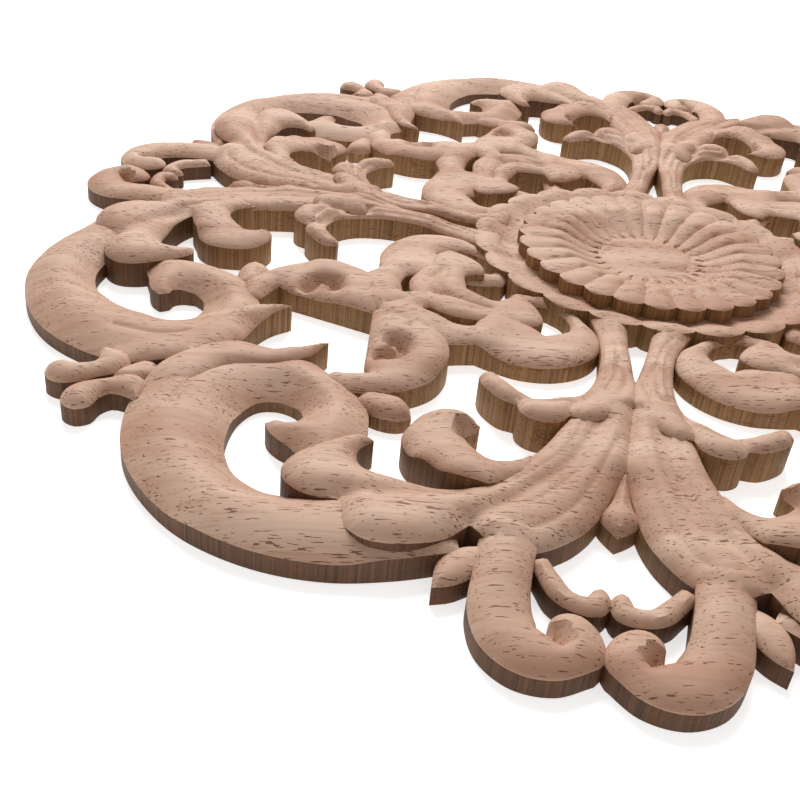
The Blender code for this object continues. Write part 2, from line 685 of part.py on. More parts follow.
def wood():
    material = bpy.data.materials.new("rubberwood")
    material.use_nodes = True
    shader = material.node_tree.nodes["Principled BSDF"]
    shader.inputs["Base Color"].default_value = (0.58, 0.38, 0.27, 1.0)
    shader.inputs["Roughness"].default_value = 0.65
    shader.inputs["Metallic"].default_value = 0.0
    return material


def main():
    for item in list(bpy.data.objects):
        bpy.data.objects.remove(item, do_unlink=True)
    mesh = applique_mesh()
    mesh.name = "applique"
    applique = bpy.data.objects.new("applique", mesh)
    bpy.context.scene.collection.objects.link(applique)
    mesh.materials.clear()
    mesh.materials.append(wood())
    mesh.shade_smooth()
    mesh.set_sharp_from_angle(angle=math.radians(35))


main()
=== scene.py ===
import json
import math

import bmesh
import bpy
import numpy as np
from mathutils import Matrix, Vector
from mathutils.geometry import delaunay_2d_cdt

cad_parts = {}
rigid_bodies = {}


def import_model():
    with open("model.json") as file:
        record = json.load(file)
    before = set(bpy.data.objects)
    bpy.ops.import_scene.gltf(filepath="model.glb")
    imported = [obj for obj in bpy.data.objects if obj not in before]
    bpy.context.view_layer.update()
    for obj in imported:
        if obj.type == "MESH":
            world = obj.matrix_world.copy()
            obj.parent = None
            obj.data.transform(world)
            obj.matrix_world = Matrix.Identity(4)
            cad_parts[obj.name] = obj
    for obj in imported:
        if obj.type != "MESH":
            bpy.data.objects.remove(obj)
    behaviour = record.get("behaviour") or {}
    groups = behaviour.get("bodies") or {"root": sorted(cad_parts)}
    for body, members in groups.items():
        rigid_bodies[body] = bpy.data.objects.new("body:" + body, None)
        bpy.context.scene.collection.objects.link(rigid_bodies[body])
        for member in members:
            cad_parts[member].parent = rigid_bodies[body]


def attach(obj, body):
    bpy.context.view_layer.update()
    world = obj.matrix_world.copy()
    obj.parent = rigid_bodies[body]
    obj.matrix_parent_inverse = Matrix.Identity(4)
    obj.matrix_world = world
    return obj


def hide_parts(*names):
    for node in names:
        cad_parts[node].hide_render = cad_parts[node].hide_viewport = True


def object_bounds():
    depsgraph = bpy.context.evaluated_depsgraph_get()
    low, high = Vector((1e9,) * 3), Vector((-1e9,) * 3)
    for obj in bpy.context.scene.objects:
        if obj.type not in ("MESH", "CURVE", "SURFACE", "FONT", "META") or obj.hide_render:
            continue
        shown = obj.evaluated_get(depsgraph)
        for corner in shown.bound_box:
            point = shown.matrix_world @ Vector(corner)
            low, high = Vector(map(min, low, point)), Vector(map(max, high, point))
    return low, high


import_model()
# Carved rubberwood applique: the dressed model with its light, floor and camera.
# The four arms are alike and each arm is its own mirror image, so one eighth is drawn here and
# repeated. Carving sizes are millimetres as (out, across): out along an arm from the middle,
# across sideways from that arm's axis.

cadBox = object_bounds()
mm = 0.001
print("frame loaded")


# Camera, as the picture was taken: low over one corner of the piece

picture = {
    "side": 800,    # pixels
    "focalPixels": 1058.1,    # focal length in those pixels
    "centrePixels": (400.5, 395.5),    # where the lens points in it
    "pitch": 0.5736,    # radians down from level
    "yaw": -0.1825,
    "roll": -0.1037,
    "radius": 190.5,    # mm; the unit of the next value
    "middleFromCamera": (0.4115, 1.7345, -0.8091),    # before yaw
}


def makeCamera(values):
    data = bpy.data.cameras.new("camera")
    data.sensor_width = 36.0
    side = values["side"]
    data.lens = values["focalPixels"] / side * data.sensor_width
    data.shift_x = (side / 2 - values["centrePixels"][0]) / side
    data.shift_y = (values["centrePixels"][1] - side / 2) / side
    data.clip_start = 0.01
    pitch, roll = values["pitch"], values["roll"]
    right = Vector((1, 0, 0))
    up = Vector((0, math.sin(pitch), math.cos(pitch)))
    ahead = Vector((0, math.cos(pitch), -math.sin(pitch)))
    tiltedRight = right * math.cos(roll) - up * math.sin(roll)
    tiltedUp = right * math.sin(roll) + up * math.cos(roll)
    axes = Matrix((tiltedRight, tiltedUp, -ahead)).transposed()
    turn = Matrix.Rotation(-values["yaw"], 3, "Z")
    middle = Vector([values["radius"] * share for share in values["middleFromCamera"]])
    place = turn @ (-middle * mm)
    camera = bpy.data.objects.new("camera", data)
    camera.matrix_world = Matrix.Translation(place) @ (turn @ axes).to_4x4()
    bpy.context.scene.collection.objects.link(camera)
    bpy.context.scene.camera = camera


makeCamera(picture)
print("camera made")


# Carving sizes

relief = {
    "outlineStep": 1.3,    # mm between points along an outline
    "guideStep": 2.0,    # mm between points of the lines that grooves follow
    "gridStep": 1.75,    # mm between points on the tops
    "cutStep": 1.6,    # mm between points along a groove or scoop
    "cutRows": (-1.0, -0.45, 0.0, 0.45, 1.0),    # rows across a groove, in its widths
    "cutGap": 0.45,    # mm that the rows of two grooves keep from each other
    "cutClear": 0.9,    # mm that other points keep from those rows
    "mirrorClear": 0.5,    # mm that they keep from the mirror line
    "edgeRows": (0.22, 0.7, 1.5),    # mm in from the edge, where the rounding is tight
    "edgeClear": 0.3,    # mm between the last of these and a groove's rows
    "rimSpread": 0.5,    # larger blends the heights along an edge more softly
    "rimFocus": 1.5,    # larger keeps each height nearer its own place
    "fullness": 0.75,    # 0.5 is a quarter round, 1.0 a flatter parabola
    "grooveFade": 4.0,    # mm from the edge over which grooves run out
    "toolMarks": 0.07,    # mm of unevenness that the gouge left
    "below": 2.0,    # mm that each form reaches under the back before it is planed off
    "belowStep": 0.1,
    "bench": (0.52, 0.52, 0.02),    # m; the block that planes the back
    "weld": 0.001,    # mm
    "sharpAngle": 38,    # degrees; edges sharper than this stay crisp
    "boxShare": 0.9998,    # of the CAD piece's box that the carving fills at most
}

# Each carving: "runs" are the outline's stretches, round between their ends; "rim" holds heights
# along the edge as (out, across, height); "crown" is how far the top rises over them and "roll"
# over what distance; "grooves" and "scoops" are (line, depth, width).

scrollCarving = {
    "runs": [
        [(105.4, 103.8), (110.7, 112.1), (120.3, 118.5), (134.5, 122.3), (146.9, 120.1),
         (159.3, 114.1), (169.5, 104.5), (177.6, 91.4), (181.5, 74.1), (180.3, 58.4),
         (175.3, 44.9), (168.4, 32.5)],
        [(168.4, 32.5), (157.6, 36.4)],
        [(157.6, 36.4), (155.6, 57.8)],
        [(155.6, 57.8), (161.6, 73.4)],
        [(161.6, 73.4), (161.0, 80.0), (157.1, 87.6), (151.6, 91.8), (144.6, 94.6),
         (133.2, 95.6), (126.2, 92.9), (124.2, 88.0), (126.0, 82.2), (129.6, 79.8)],
        [(129.6, 79.8), (133.6, 80.6), (135.4, 82.6), (135.5, 85.0), (137.7, 87.0)],
        [(137.7, 87.0), (140.4, 85.4), (142.8, 82.4), (144.4, 79.0), (147.6, 74.0)],
        [(147.6, 74.0), (151.6, 67.6)],
        [(151.6, 67.6), (142.6, 63.4), (134.6, 62.5), (123.1, 64.9), (114.4, 71.2),
         (109.7, 79.7)],
        [(109.7, 79.7), (105.8, 86.3), (106.3, 95.3), (105.4, 103.8)],
    ],
    "rim": [(109.1, 82.2, 5.8), (116.3, 114.2, 4.4), (149.1, 113.5, 4.4), (172.2, 101.5, 4.2),
            (179.3, 84.0, 5.3), (180.2, 59.0, 5.2), (173.3, 43.0, 6.5), (125.2, 88.5, 3.1),
            (129.5, 95.0, 3.0), (144.6, 94.6, 4.0), (158.0, 86.0, 4.2), (140.0, 84.5, 6.2),
            (134.6, 64.0, 5.2)],
    "crown": 4.4,
    "roll": 12.0,
    "fullness": 1.0,
    "grooves": [([(140.0, 110.5), (130.0, 110.5), (124.7, 109.2), (117.8, 105.1)], 0.9, 1.2)],
}

crestCarving = {
    "runs": [
        [(98.6, 82.8), (102.6, 88.2), (104.9, 94.6), (105.4, 103.8)],
        [(105.4, 103.8), (107.0, 108.6), (111.2, 114.3), (122.2, 121.0), (132.4, 122.9),
         (137.6, 122.7)],
        [(137.6, 122.7), (138.8, 116.7), (133.6, 111.9)],
        [(133.6, 111.9), (126.4, 109.4), (120.0, 105.2), (115.9, 98.4), (112.1, 90.4),
         (107.0, 85.6), (98.6, 82.8)],
    ],
    "rim": [(98.9, 83.4, 8.2), (110.7, 90.0, 8.2), (117.0, 101.0, 8.0), (104.9, 96.0, 6.5),
            (120.5, 112.1, 7.0), (137.7, 119.8, 4.2)],
    "crown": 2.4,
    "roll": 5.0,
}

ringCarving = {
    "runs": [
        [(114.2, 81.1), (109.6, 78.2)],
        [(109.6, 78.2), (108.6, 73.6), (107.2, 69.2)],
        [(107.2, 69.2), (103.6, 71.2), (97.6, 72.4), (87.5, 74.2), (75.1, 76.5)],
        [(75.1, 76.5), (71.0, 72.0)],
        [(71.0, 72.0), (72.7, 64.0), (78.4, 57.4), (84.5, 52.6), (94.8, 50.2), (104.2, 52.2),
         (111.6, 58.4), (115.4, 65.0), (117.6, 72.1)],
        [(117.6, 72.1), (114.2, 81.1)],
    ],
    "rim": [(83.4, 58.8, 7.8), (97.0, 50.2, 8.2), (107.6, 55.5, 6.4), (112.6, 61.0, 6.2),
            (111.2, 78.2, 6.0), (98.0, 72.2, 6.2), (79.0, 72.8, 7.4)],
    "crown": 2.8,
    "roll": 6.0,
    "scoops": [([(98.6, 68.0), (96.2, 63.4), (91.4, 63.6), (90.6, 66.6)], 5.0, 2.2)],
}

budCarving = {
    "runs": [
        [(113.9, 69.2), (112.9, 63.4), (113.2, 58.6), (115.8, 55.8), (120.2, 54.2)],
        [(120.2, 54.2), (122.5, 57.2), (123.0, 60.6), (122.4, 64.0), (120.0, 70.1)],
        [(120.0, 70.1), (113.9, 69.2)],
    ],
    "rim": [(118.6, 58.3, 3.9)],
    "crown": 3.2,
    "roll": 4.0,
}

plateCarving = {
    "runs": [
        [(73.9, 75.9), (80.1, 71.8)],
        [(80.1, 71.8), (85.9, 58.8), (85.1, 52.0)],
        [(85.1, 52.0), (83.6, 49.0), (81.8, 44.6)],
        [(81.8, 44.6), (83.7, 39.1), (85.2, 31.2), (83.2, 21.9), (77.1, 14.2), (68.6, 10.6),
         (60.6, 11.8), (52.0, 17.7)],
        [(52.0, 17.7), (41.8, 27.7)],
        [(41.8, 27.7), (43.6, 39.6)],
        [(43.6, 39.6), (57.6, 45.3), (58.3, 57.3), (63.0, 67.1)],
        [(63.0, 67.1), (73.9, 75.9)],
    ],
    "holes": [
        [[(48.8, 33.6), (48.4, 28.6), (52.4, 22.8), (60.0, 20.2), (67.1, 26.8)],
         [(67.1, 26.8), (61.8, 31.5), (54.8, 33.5), (48.8, 33.6)]],
        [[(68.1, 46.7), (72.2, 47.6), (73.2, 54.1), (70.6, 62.6)],
         [(70.6, 62.6), (68.3, 61.1), (68.9, 54.1), (68.1, 46.7)]],
    ],
    "rim": [(83.9, 31.2, 4.9), (62.1, 11.8, 4.9), (77.6, 49.0, 7.0), (74.3, 61.0, 8.6),
            (72.9, 72.9, 8.8), (49.7, 35.5, 4.9)],
    "crown": 2.6,
    "roll": 6.0,
}

collarCarving = {
    "mirror": "diagonal",
    "runs": [
        [(65.6, 65.6), (68.9, 60.5), (70.5, 54.1), (69.2, 46.2)],
        [(69.2, 46.2), (67.1, 39.3), (66.8, 32.4), (63.4, 28.3), (56.3, 30.3), (51.3, 34.5),
         (49.9, 39.5)],
        [(49.9, 39.5), (55.0, 43.2), (54.1, 48.9), (52.9, 52.9)],
    ],
    "rim": [(59.2, 59.2, 8.8), (59.7, 39.4, 7.4)],
    "crown": 1.8,
    "roll": 4.0,
    "grooves": [([(59.5, 59.5), (62.6, 52.2), (62.0, 44.3)], 1.6, 2.0)],
}

stemCarving = {
    "runs": [
        [(49.5, 4.0), (65.4, 2.8), (78.0, 1.4), (86.0, 0.2)],
        [(86.0, 0.2), (88.2, -0.7)],
        [(88.2, -0.7), (102.2, -0.7)],
        [(102.2, -0.7), (104.2, 1.0)],
        [(104.2, 1.0), (109.8, 4.8), (113.4, 8.4), (115.0, 11.8), (113.2, 15.3)],
        [(113.2, 15.3), (116.2, 17.2), (117.8, 20.8), (117.4, 24.8), (115.0, 27.8),
         (111.4, 28.9)],
        [(111.4, 28.9), (110.9, 32.8), (107.9, 36.8), (104.6, 39.4), (101.2, 40.6)],
        [(101.2, 40.6), (98.6, 39.6), (98.4, 36.6)],
        [(98.4, 36.6), (103.4, 31.2), (105.8, 25.6), (104.2, 20.2), (99.8, 14.6),
         (92.4, 11.2), (80.1, 10.0), (63.8, 11.4), (47.8, 16.4)],
        [(47.8, 16.4), (49.5, 4.0)],
    ],
    "rim": [(60.1, 8.8, 5.8), (85.2, 4.9, 7.6), (103.1, 1.5, 10.0), (114.6, 10.5, 10.6),
            (117.0, 22.0, 9.8), (108.9, 35.5, 9.2), (99.4, 39.4, 8.4), (105.0, 26.0, 8.2),
            (97.0, 13.2, 7.4)],
    "crown": 2.6,
    "roll": 4.0,
    "grooves": [([(78.2, 4.5), (90.2, 2.5), (101.2, 4.8)], 1.1, 1.4),
                ([(96.1, 8.7), (105.1, 14.0), (113.2, 15.3)], 1.2, 1.6),
                ([(104.6, 22.0), (108.4, 26.8), (111.4, 28.9)], 1.2, 1.6),
                ([(56.0, 12.4), (64.2, 9.1), (80.4, 7.7), (92.6, 8.9), (100.8, 12.7),
                  (106.3, 19.6), (107.9, 25.8), (105.6, 31.4)], 0.8, 0.95),
                ([(57.0, 9.8), (64.8, 6.9), (80.6, 5.5), (93.4, 6.5), (102.8, 11.0),
                  (109.0, 18.6), (110.4, 24.0)], 0.8, 0.95)],
}

leafCarving = {
    "runs": [
        [(96.2, -0.8), (127.6, -0.8)],
        [(127.6, -0.8), (133.2, 1.0), (139.0, 2.5), (144.4, 4.0), (149.8, 6.0), (155.4, 9.2),
         (160.2, 13.4)],
        [(160.2, 13.4), (164.2, 18.4), (165.6, 24.6), (161.6, 31.9)],
        [(161.6, 31.9), (166.9, 35.4), (172.0, 41.2), (174.7, 47.6), (174.4, 53.4),
         (170.8, 58.2), (163.0, 61.2)],
        [(163.0, 61.2), (163.9, 65.8), (163.1, 70.6), (160.2, 74.6), (155.8, 76.6),
         (150.4, 75.4), (145.2, 71.6), (140.2, 66.8), (137.6, 62.8), (138.6, 59.4)],
        [(138.6, 59.4), (143.2, 61.8), (147.1, 61.2), (149.6, 59.0), (150.6, 52.0),
         (151.0, 42.3), (146.7, 31.7), (137.8, 25.9), (124.0, 19.3), (110.1, 15.5),
         (96.1, 11.6)],
        [(96.1, 11.6), (96.2, -0.8)],
    ],
    "rim": [(100.2, 5.8, 8.6), (125.0, -0.8, 8.0), (137.0, 2.0, 6.2), (149.7, 6.0, 5.4),
            (160.2, 13.4, 5.6), (165.6, 24.0, 7.4), (161.6, 31.9, 8.4), (174.0, 48.0, 9.6),
            (163.4, 68.0, 8.8), (155.6, 76.4, 8.2), (138.6, 60.5, 8.2), (150.7, 50.0, 7.6),
            (137.8, 25.9, 8.0), (118.0, 17.6, 8.0)],
    "crown": 3.6,
    "roll": 7.0,
    "grooves": [([(112.1, 7.5), (131.9, 13.4), (149.7, 23.5), (161.6, 31.9)], 1.6, 2.2),
                ([(151.5, 36.4), (156.6, 47.0), (163.0, 61.2)], 1.6, 2.4),
                ([(106.0, 10.6), (124.0, 13.8), (137.0, 19.6), (147.0, 27.4), (152.6, 34.4)],
                 0.6, 1.0),
                ([(110.0, 4.6), (127.0, 8.4), (141.0, 14.0), (151.0, 20.6)], 0.6, 1.0),
                ([(118.0, 2.6), (132.0, 5.8), (145.0, 9.6), (154.0, 14.6), (159.0, 20.4),
                  (158.6, 26.6)], 0.5, 1.1)],
}

curlCarving = {
    "runs": [
        [(122.6, 36.4), (119.4, 41.4), (119.6, 46.4), (122.6, 50.6), (127.8, 52.9),
         (134.6, 53.6), (140.2, 50.6), (143.6, 45.6), (147.4, 39.4), (148.2, 30.4)],
        [(148.2, 30.4), (139.8, 20.1)],
        [(139.8, 20.1), (131.9, 22.4)],
        [(131.9, 22.4), (136.2, 26.6), (137.4, 31.4), (134.6, 35.6), (129.8, 38.8),
         (126.2, 39.8), (122.6, 36.4)],
    ],
    "rim": [(121.2, 39.6, 8.6), (128.0, 52.6, 7.6), (138.2, 51.4, 7.4), (144.0, 45.0, 9.4),
            (147.8, 36.0, 10.8), (137.0, 31.0, 9.0), (128.0, 39.0, 8.2)],
    "crown": 2.4,
    "roll": 5.0,
    "scoops": [([(123.6, 37.6), (126.2, 40.6), (129.0, 40.4)], 3.0, 1.4)],
}

finialCarving = {
    "runs": [
        [(157.6, 29.7), (172.7, 28.9), (183.4, 28.1), (192.0, 24.0), (196.7, 16.5), (196.2, 8.0),
         (191.2, 1.0)],
        [(191.2, 1.0), (188.4, -0.4), (184.4, 0.2), (180.6, 2.2), (178.2, 5.4), (178.3, 8.6),
         (180.6, 11.2), (184.6, 12.0)],
        [(184.6, 12.0), (182.6, 14.2), (178.2, 15.8), (170.2, 16.6), (157.5, 16.7)],
        [(157.5, 16.7), (157.6, 29.7)],
    ],
    "rim": [(164.4, 22.9, 6.5), (193.4, 15.1, 4.8), (183.7, 2.8, 5.0)],
    "crown": 3.0,
    "roll": 6.0,
    "scoops": [([(184.0, 12.2), (184.9, 9.8), (187.4, 8.9)], 3.6, 1.5)],
}

crescentCarving = {
    "runs": [
        [(163.0, 14.3), (168.0, 10.9), (171.8, 7.6), (172.2, 5.0)],
        [(172.2, 5.0), (169.6, 3.8), (168.8, 1.9), (170.2, 0.3), (172.9, -0.6)],
        [(172.9, -0.6), (176.6, 1.4), (177.5, 4.4), (176.6, 9.2), (174.2, 12.8), (170.0, 15.4),
         (165.4, 18.1)],
        [(165.4, 18.1), (163.0, 14.3)],
    ],
    "rim": [(169.2, 14.3, 5.1), (173.0, 1.9, 4.9)],
    "crown": 2.2,
    "roll": 3.0,
}

sideLeafCarving = {
    "runs": [
        [(163.4, 26.2), (165.4, 32.0), (169.0, 35.6), (173.6, 36.7), (179.7, 36.1)],
        [(179.7, 36.1), (177.6, 32.0), (172.2, 26.7)],
        [(172.2, 26.7), (163.4, 26.2)],
    ],
    "rim": [(169.3, 32.4, 5.0)],
    "crown": 2.2,
    "roll": 3.6,
}

dropCarving = {
    "mirror": "axis",
    "runs": [
        [(122.1, 0.0), (122.1, 1.4)],
        [(122.1, 1.4), (132.0, 1.6), (139.0, 2.9), (144.8, 4.6), (147.8, 2.8), (150.6, 0.0)],
    ],
    "rim": [(125.0, 0.0, 6.0), (144.7, 0.0, 4.6)],
    "crown": 3.2,
    "roll": 3.8,
}

crookCarving = {
    "runs": [
        [(131.5, 119.5), (128.9, 124.0), (129.8, 127.6), (133.6, 131.6), (137.0, 135.8),
         (141.6, 138.2), (146.2, 136.6), (147.6, 132.6), (145.2, 129.6), (141.0, 129.2),
         (138.0, 127.4), (137.8, 124.2), (139.6, 119.5)],
        [(139.6, 119.5), (131.5, 119.5)],
    ],
    "rim": [(132.3, 126.0, 5.0), (140.3, 134.0, 5.2)],
    "crown": 2.8,
    "roll": 3.8,
}

beadCarving = {
    "mirror": "diagonal",
    "runs": [
        [(121.8, 121.8), (123.2, 120.8), (126.2, 120.8), (128.2, 122.8)],
        [(128.2, 122.8), (130.6, 127.0), (131.0, 131.0)],
    ],
    "rim": [(124.2, 124.2, 4.4)],
    "crown": 2.2,
    "roll": 2.8,
}

carvings = [
    scrollCarving, crestCarving, ringCarving, budCarving, plateCarving, collarCarving,
    stemCarving, leafCarving, curlCarving, finialCarving, crescentCarving, sideLeafCarving,
    dropCarving, crookCarving, beadCarving,
]


# Curves


def smooth(knots, step):
    # points along a round curve through the knots
    knots = [np.array(k, float) for k in knots]
    if len(knots) == 2:
        count = max(1, round(float(np.linalg.norm(knots[1] - knots[0])) / step))
        return [knots[0] + (knots[1] - knots[0]) * i / count for i in range(count + 1)]
    ends = [2 * knots[0] - knots[1]] + knots + [2 * knots[-1] - knots[-2]]
    points = [knots[0]]
    for p0, p1, p2, p3 in zip(ends, ends[1:], ends[2:], ends[3:]):
        t1 = np.linalg.norm(p1 - p0) ** 0.5
        t2 = t1 + np.linalg.norm(p2 - p1) ** 0.5
        t3 = t2 + np.linalg.norm(p3 - p2) ** 0.5
        pieces = max(1, round(float(np.linalg.norm(p2 - p1)) / step))
        for i in range(1, pieces + 1):
            t = t1 + (t2 - t1) * i / pieces
            a1 = p0 + (p1 - p0) * t / t1
            a2 = p1 + (p2 - p1) * (t - t1) / (t2 - t1)
            a3 = p2 + (p3 - p2) * (t - t2) / (t3 - t2)
            b1 = a1 + (a2 - a1) * t / t2
            b2 = a2 + (a3 - a2) * (t - t1) / (t3 - t1)
            points.append(b1 + (b2 - b1) * (t - t1) / (t2 - t1))
    return points


def closedLine(runs, step):
    loop = []
    for run in runs:
        loop += smooth(run, step)[:-1]
    return loop


def reflected(point, mirror):
    return np.array((point[0], -point[1]) if mirror == "axis" else (point[1], point[0]))


def outlineOf(carving):
    half = closedLine(carving["runs"], relief["outlineStep"])
    if "mirror" not in carving:
        return np.array(half)
    half.append(np.array(carving["runs"][-1][-1], float))
    return np.array(half + [reflected(p, carving["mirror"]) for p in half[-2:0:-1]])


def distanceTo(points, line):
    # nearest distance from each point to a line of straight stretches
    a, b = line[:-1], line[1:]
    along = b - a
    length = np.maximum((along ** 2).sum(1), 1e-12)
    best = np.full(len(points), 1e9)
    for start in range(0, len(points), 4000):
        part = points[start:start + 4000, None, :] - a[None]
        share = np.clip((part * along).sum(2) / length, 0, 1)
        gap = part - share[..., None] * along
        best[start:start + 4000] = np.sqrt((gap ** 2).sum(2)).min(1)
    return best


def edgeDistance(points, loops):
    return np.min([distanceTo(points, np.vstack((loop, loop[:1]))) for loop in loops], axis=0)


def insideLoop(points, loop):
    x, y = points[:, 0], points[:, 1]
    crossings = np.zeros(len(points), int)
    for (ax, ay), (bx, by) in zip(loop, np.vstack((loop[1:], loop[:1]))):
        spans = (ay > y) != (by > y)
        if spans.any():
            crossings += spans & (ax + (y - ay) / (by - ay + 1e-15) * (bx - ax) > x)
    return crossings % 2 == 1


# Heights


def rimHeights(carving, points):
    # the heights measured along the edge, spread over the whole form
    total = np.zeros(len(points))
    weights = np.zeros(len(points))
    for out, across, height in carving["rim"]:
        gap = (points[:, 0] - out) ** 2 + (points[:, 1] - across) ** 2
        weight = 1 / (relief["rimSpread"] + gap) ** relief["rimFocus"]
        total += height * weight
        weights += weight
    return total / weights


def dome(distance, roll, fullness=0.5):
    # the share of the crown's height at a distance from the edge
    return (1 - (1 - np.clip(distance / roll, 0, 1)) ** 2) ** fullness


def toolMarks(points):
    # two wavy patterns a few millimetres long, laid over each other
    out, across = points[:, 0], points[:, 1]
    lengthways = np.sin(out / 2.3 + 1.7 * np.sin(across / 5.1))
    return relief["toolMarks"] * (lengthways * np.sin(across / 1.9 + 1.3 * np.sin(out / 4.3)))


def topHeights(carving, loops, points):
    distance = edgeDistance(points, loops)
    fullness = carving.get("fullness", relief["fullness"])
    heights = rimHeights(carving, points)
    heights += carving["crown"] * dome(distance, carving["roll"], fullness)
    for line, depth, width in carving.get("grooves", []):
        lines = [np.array(smooth(line, relief["guideStep"]))]
        if "mirror" in carving:
            lines.append(np.array([reflected(p, carving["mirror"]) for p in lines[0]]))
        for cut in lines:
            shape = np.exp(-(distanceTo(points, cut) / width) ** 2)
            heights -= depth * shape * dome(distance, relief["grooveFade"])
    for line, depth, width in carving.get("scoops", []):
        cut = np.array(smooth(line, relief["guideStep"]))
        heights -= depth * np.exp(-(distanceTo(points, cut) / width) ** 2)
    return heights + toolMarks(points)


# Forms


def insetPoints(loop, distance):
    # the loop's points moved inward, or outward when the distance is negative
    before, after = np.roll(loop, 1, 0), np.roll(loop, -1, 0)
    along = after - before
    along /= np.maximum(np.linalg.norm(along, axis=1), 1e-9)[:, None]
    area = (loop[:, 0] * after[:, 1] - after[:, 0] * loop[:, 1]).sum()
    inward = np.stack((-along[:, 1], along[:, 0]), 1) * (1 if area > 0 else -1)
    return loop + inward * distance


def cutPoints(carving, loops):
    # rows of points along the grooves and scoops, so that narrow cuts keep their shape
    kept = np.zeros((0, 2))
    for line, _, width in carving.get("grooves", []) + carving.get("scoops", []):
        middle = np.array(smooth(line, relief["cutStep"]))
        along = np.gradient(middle, axis=0)
        along /= np.linalg.norm(along, axis=1)[:, None]
        sideways = np.stack((-along[:, 1], along[:, 0]), 1)
        for share in relief["cutRows"]:
            row = middle + sideways * share * width
            row = row[insideLoop(row, loops[0])]
            row = row[edgeDistance(row, loops) > relief["edgeRows"][-1] + relief["edgeClear"]]
            if len(kept) and len(row):
                gap = np.linalg.norm(row[:, None] - kept[None], axis=2).min(1)
                row = row[gap > relief["cutGap"]]
            kept = np.vstack((kept, row))
    if "mirror" in carving:
        onAxis = carving["mirror"] == "axis"
        fromLine = kept[:, 1] if onAxis else kept[:, 0] - kept[:, 1]
        kept = kept[fromLine > relief["mirrorClear"]]
        kept = np.vstack((kept, kept * (1, -1) if onAxis else kept[:, ::-1]))
    return kept


def innerPoints(loops, cuts):
    # rows just inside the edges, then an even grid over what is left
    kept = [cuts]
    outer = loops[0]
    for distance in relief["edgeRows"]:
        for i, loop in enumerate(loops):
            row = insetPoints(loop, distance if i == 0 else -distance)
            row = row[edgeDistance(row, loops) > 0.9 * distance]
            kept.append(row[insideLoop(row, outer)])
    step = relief["gridStep"]
    low, high = outer.min(0), outer.max(0)
    rows = []
    # rows of points in triangles with equal sides
    for j, y in enumerate(np.arange(low[1], high[1], step * 0.866)):
        xs = np.arange(low[0] + (j % 2) * step / 2, high[0], step)
        rows.append(np.stack((xs, np.full(len(xs), y)), 1))
    grid = np.vstack(rows)
    grid = grid[insideLoop(grid, outer)]
    clear = edgeDistance(grid, loops) > relief["edgeRows"][-1] + 0.45 * step
    for hole in loops[1:]:
        clear &= ~insideLoop(grid, hole)
    grid = grid[clear]
    if len(cuts):
        near = [np.linalg.norm(cuts - p, axis=1).min() for p in grid]
        grid = grid[np.array(near) > relief["cutClear"]]
    kept.append(grid)
    return np.vstack(kept)


def flatTriangles(loops, inner):
    # triangles over the outline's inside, without its holes
    points = np.vstack(list(loops) + ([inner] if len(inner) else []))
    edges = []
    start = 0
    for loop in loops:
        edges += [(start + i, start + (i + 1) % len(loop)) for i in range(len(loop))]
        start += len(loop)
    made = delaunay_2d_cdt([Vector(p) for p in points], edges, [], 1, 1e-6)
    faces = np.array([[made[3][i][0] for i in face] for face in made[2]])
    middles = points[faces].mean(1)
    for hole in loops[1:]:
        keep = ~insideLoop(middles, hole)
        faces, middles = faces[keep], middles[keep]
    return faces


def prismMesh(loops, inner, heightOf, below):
    # a closed form over the outline, domed on top and flat below
    edgePoints = np.vstack(loops)
    plan = np.vstack((edgePoints, inner))
    tops = np.column_stack((plan, heightOf(plan)))
    bottoms = np.column_stack((edgePoints, np.full(len(edgePoints), -below)))
    faces = flatTriangles(loops, inner).tolist()
    faces += (flatTriangles(loops, np.zeros((0, 2))) + len(tops)).tolist()
    start = 0
    for loop in loops:
        for i in range(len(loop)):
            a, b = start + i, start + (i + 1) % len(loop)
            faces.append([a, b, len(tops) + b, len(tops) + a])
        start += len(loop)
    points = np.vstack((tops, bottoms))
    mesh = bpy.data.meshes.new("form")
    mesh.from_pydata((points[:, (1, 0, 2)] * (-mm, -mm, mm)).tolist(), [], faces)
    form = bmesh.new()
    form.from_mesh(mesh)
    bmesh.ops.recalc_face_normals(form, faces=form.faces)
    bmesh.ops.triangulate(form, faces=form.faces)
    form.to_mesh(mesh)
    form.free()
    return mesh


def carvingMesh(carving):
    below = relief["below"] + relief["belowStep"] * carvings.index(carving)
    loops = [outlineOf(carving)]
    for runs in carving.get("holes", []):
        loops.append(np.array(closedLine(runs, relief["outlineStep"])))
    inner = innerPoints(loops, cutPoints(carving, loops))
    return prismMesh(loops, inner, lambda p: topHeights(carving, loops, p), below)


# The round middle

